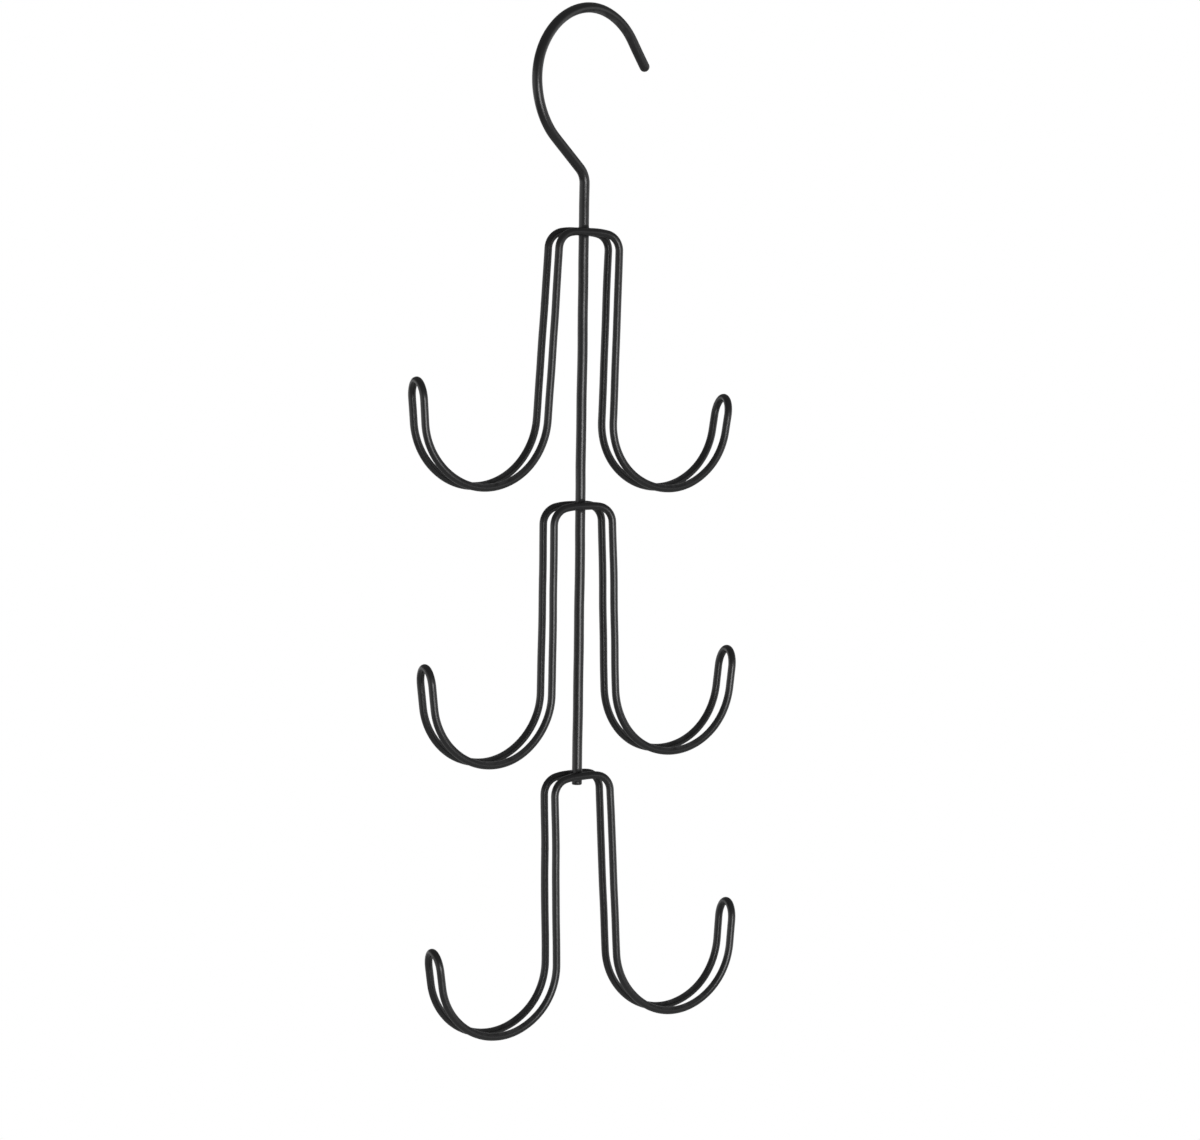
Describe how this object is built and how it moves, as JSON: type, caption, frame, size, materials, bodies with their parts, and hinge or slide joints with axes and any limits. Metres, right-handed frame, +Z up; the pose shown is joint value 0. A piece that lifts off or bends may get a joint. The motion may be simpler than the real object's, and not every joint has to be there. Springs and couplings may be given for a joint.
{
  "type": "handbag hanger",
  "caption": "Hanging handbag rack: a rail hook on a straight steel spine carries welded tiers of doubled wire J hooks, left and right, for bag straps.",
  "frame": {"origin": "top of the hook's bow on its underside, the spot that rests on the rail", "axes": "+Z up, along the spine; +X across the tiers, to the side where the hook's mouth is; +Y square to the tiers, to their back"},
  "size_m": [0.1551, 0.0189, 0.4232],
  "materials": {
    "rod_coat": "satin black powder coat on round steel rod",
    "wire_coat": "satin black powder coat on round steel wire",
    "weld_coat": "satin black powder coat over weld metal"
  },
  "bodies": {
    "root": {"hook_rod": "rod_coat", "upper_loop": "wire_coat", "middle_loop": "wire_coat", "lower_loop": "wire_coat", "upper_front_weld": "weld_coat", "upper_back_weld": "weld_coat", "middle_front_weld": "weld_coat", "middle_back_weld": "weld_coat", "lower_front_weld": "weld_coat", "lower_back_weld": "weld_coat"}
  },
  "joints": []
}
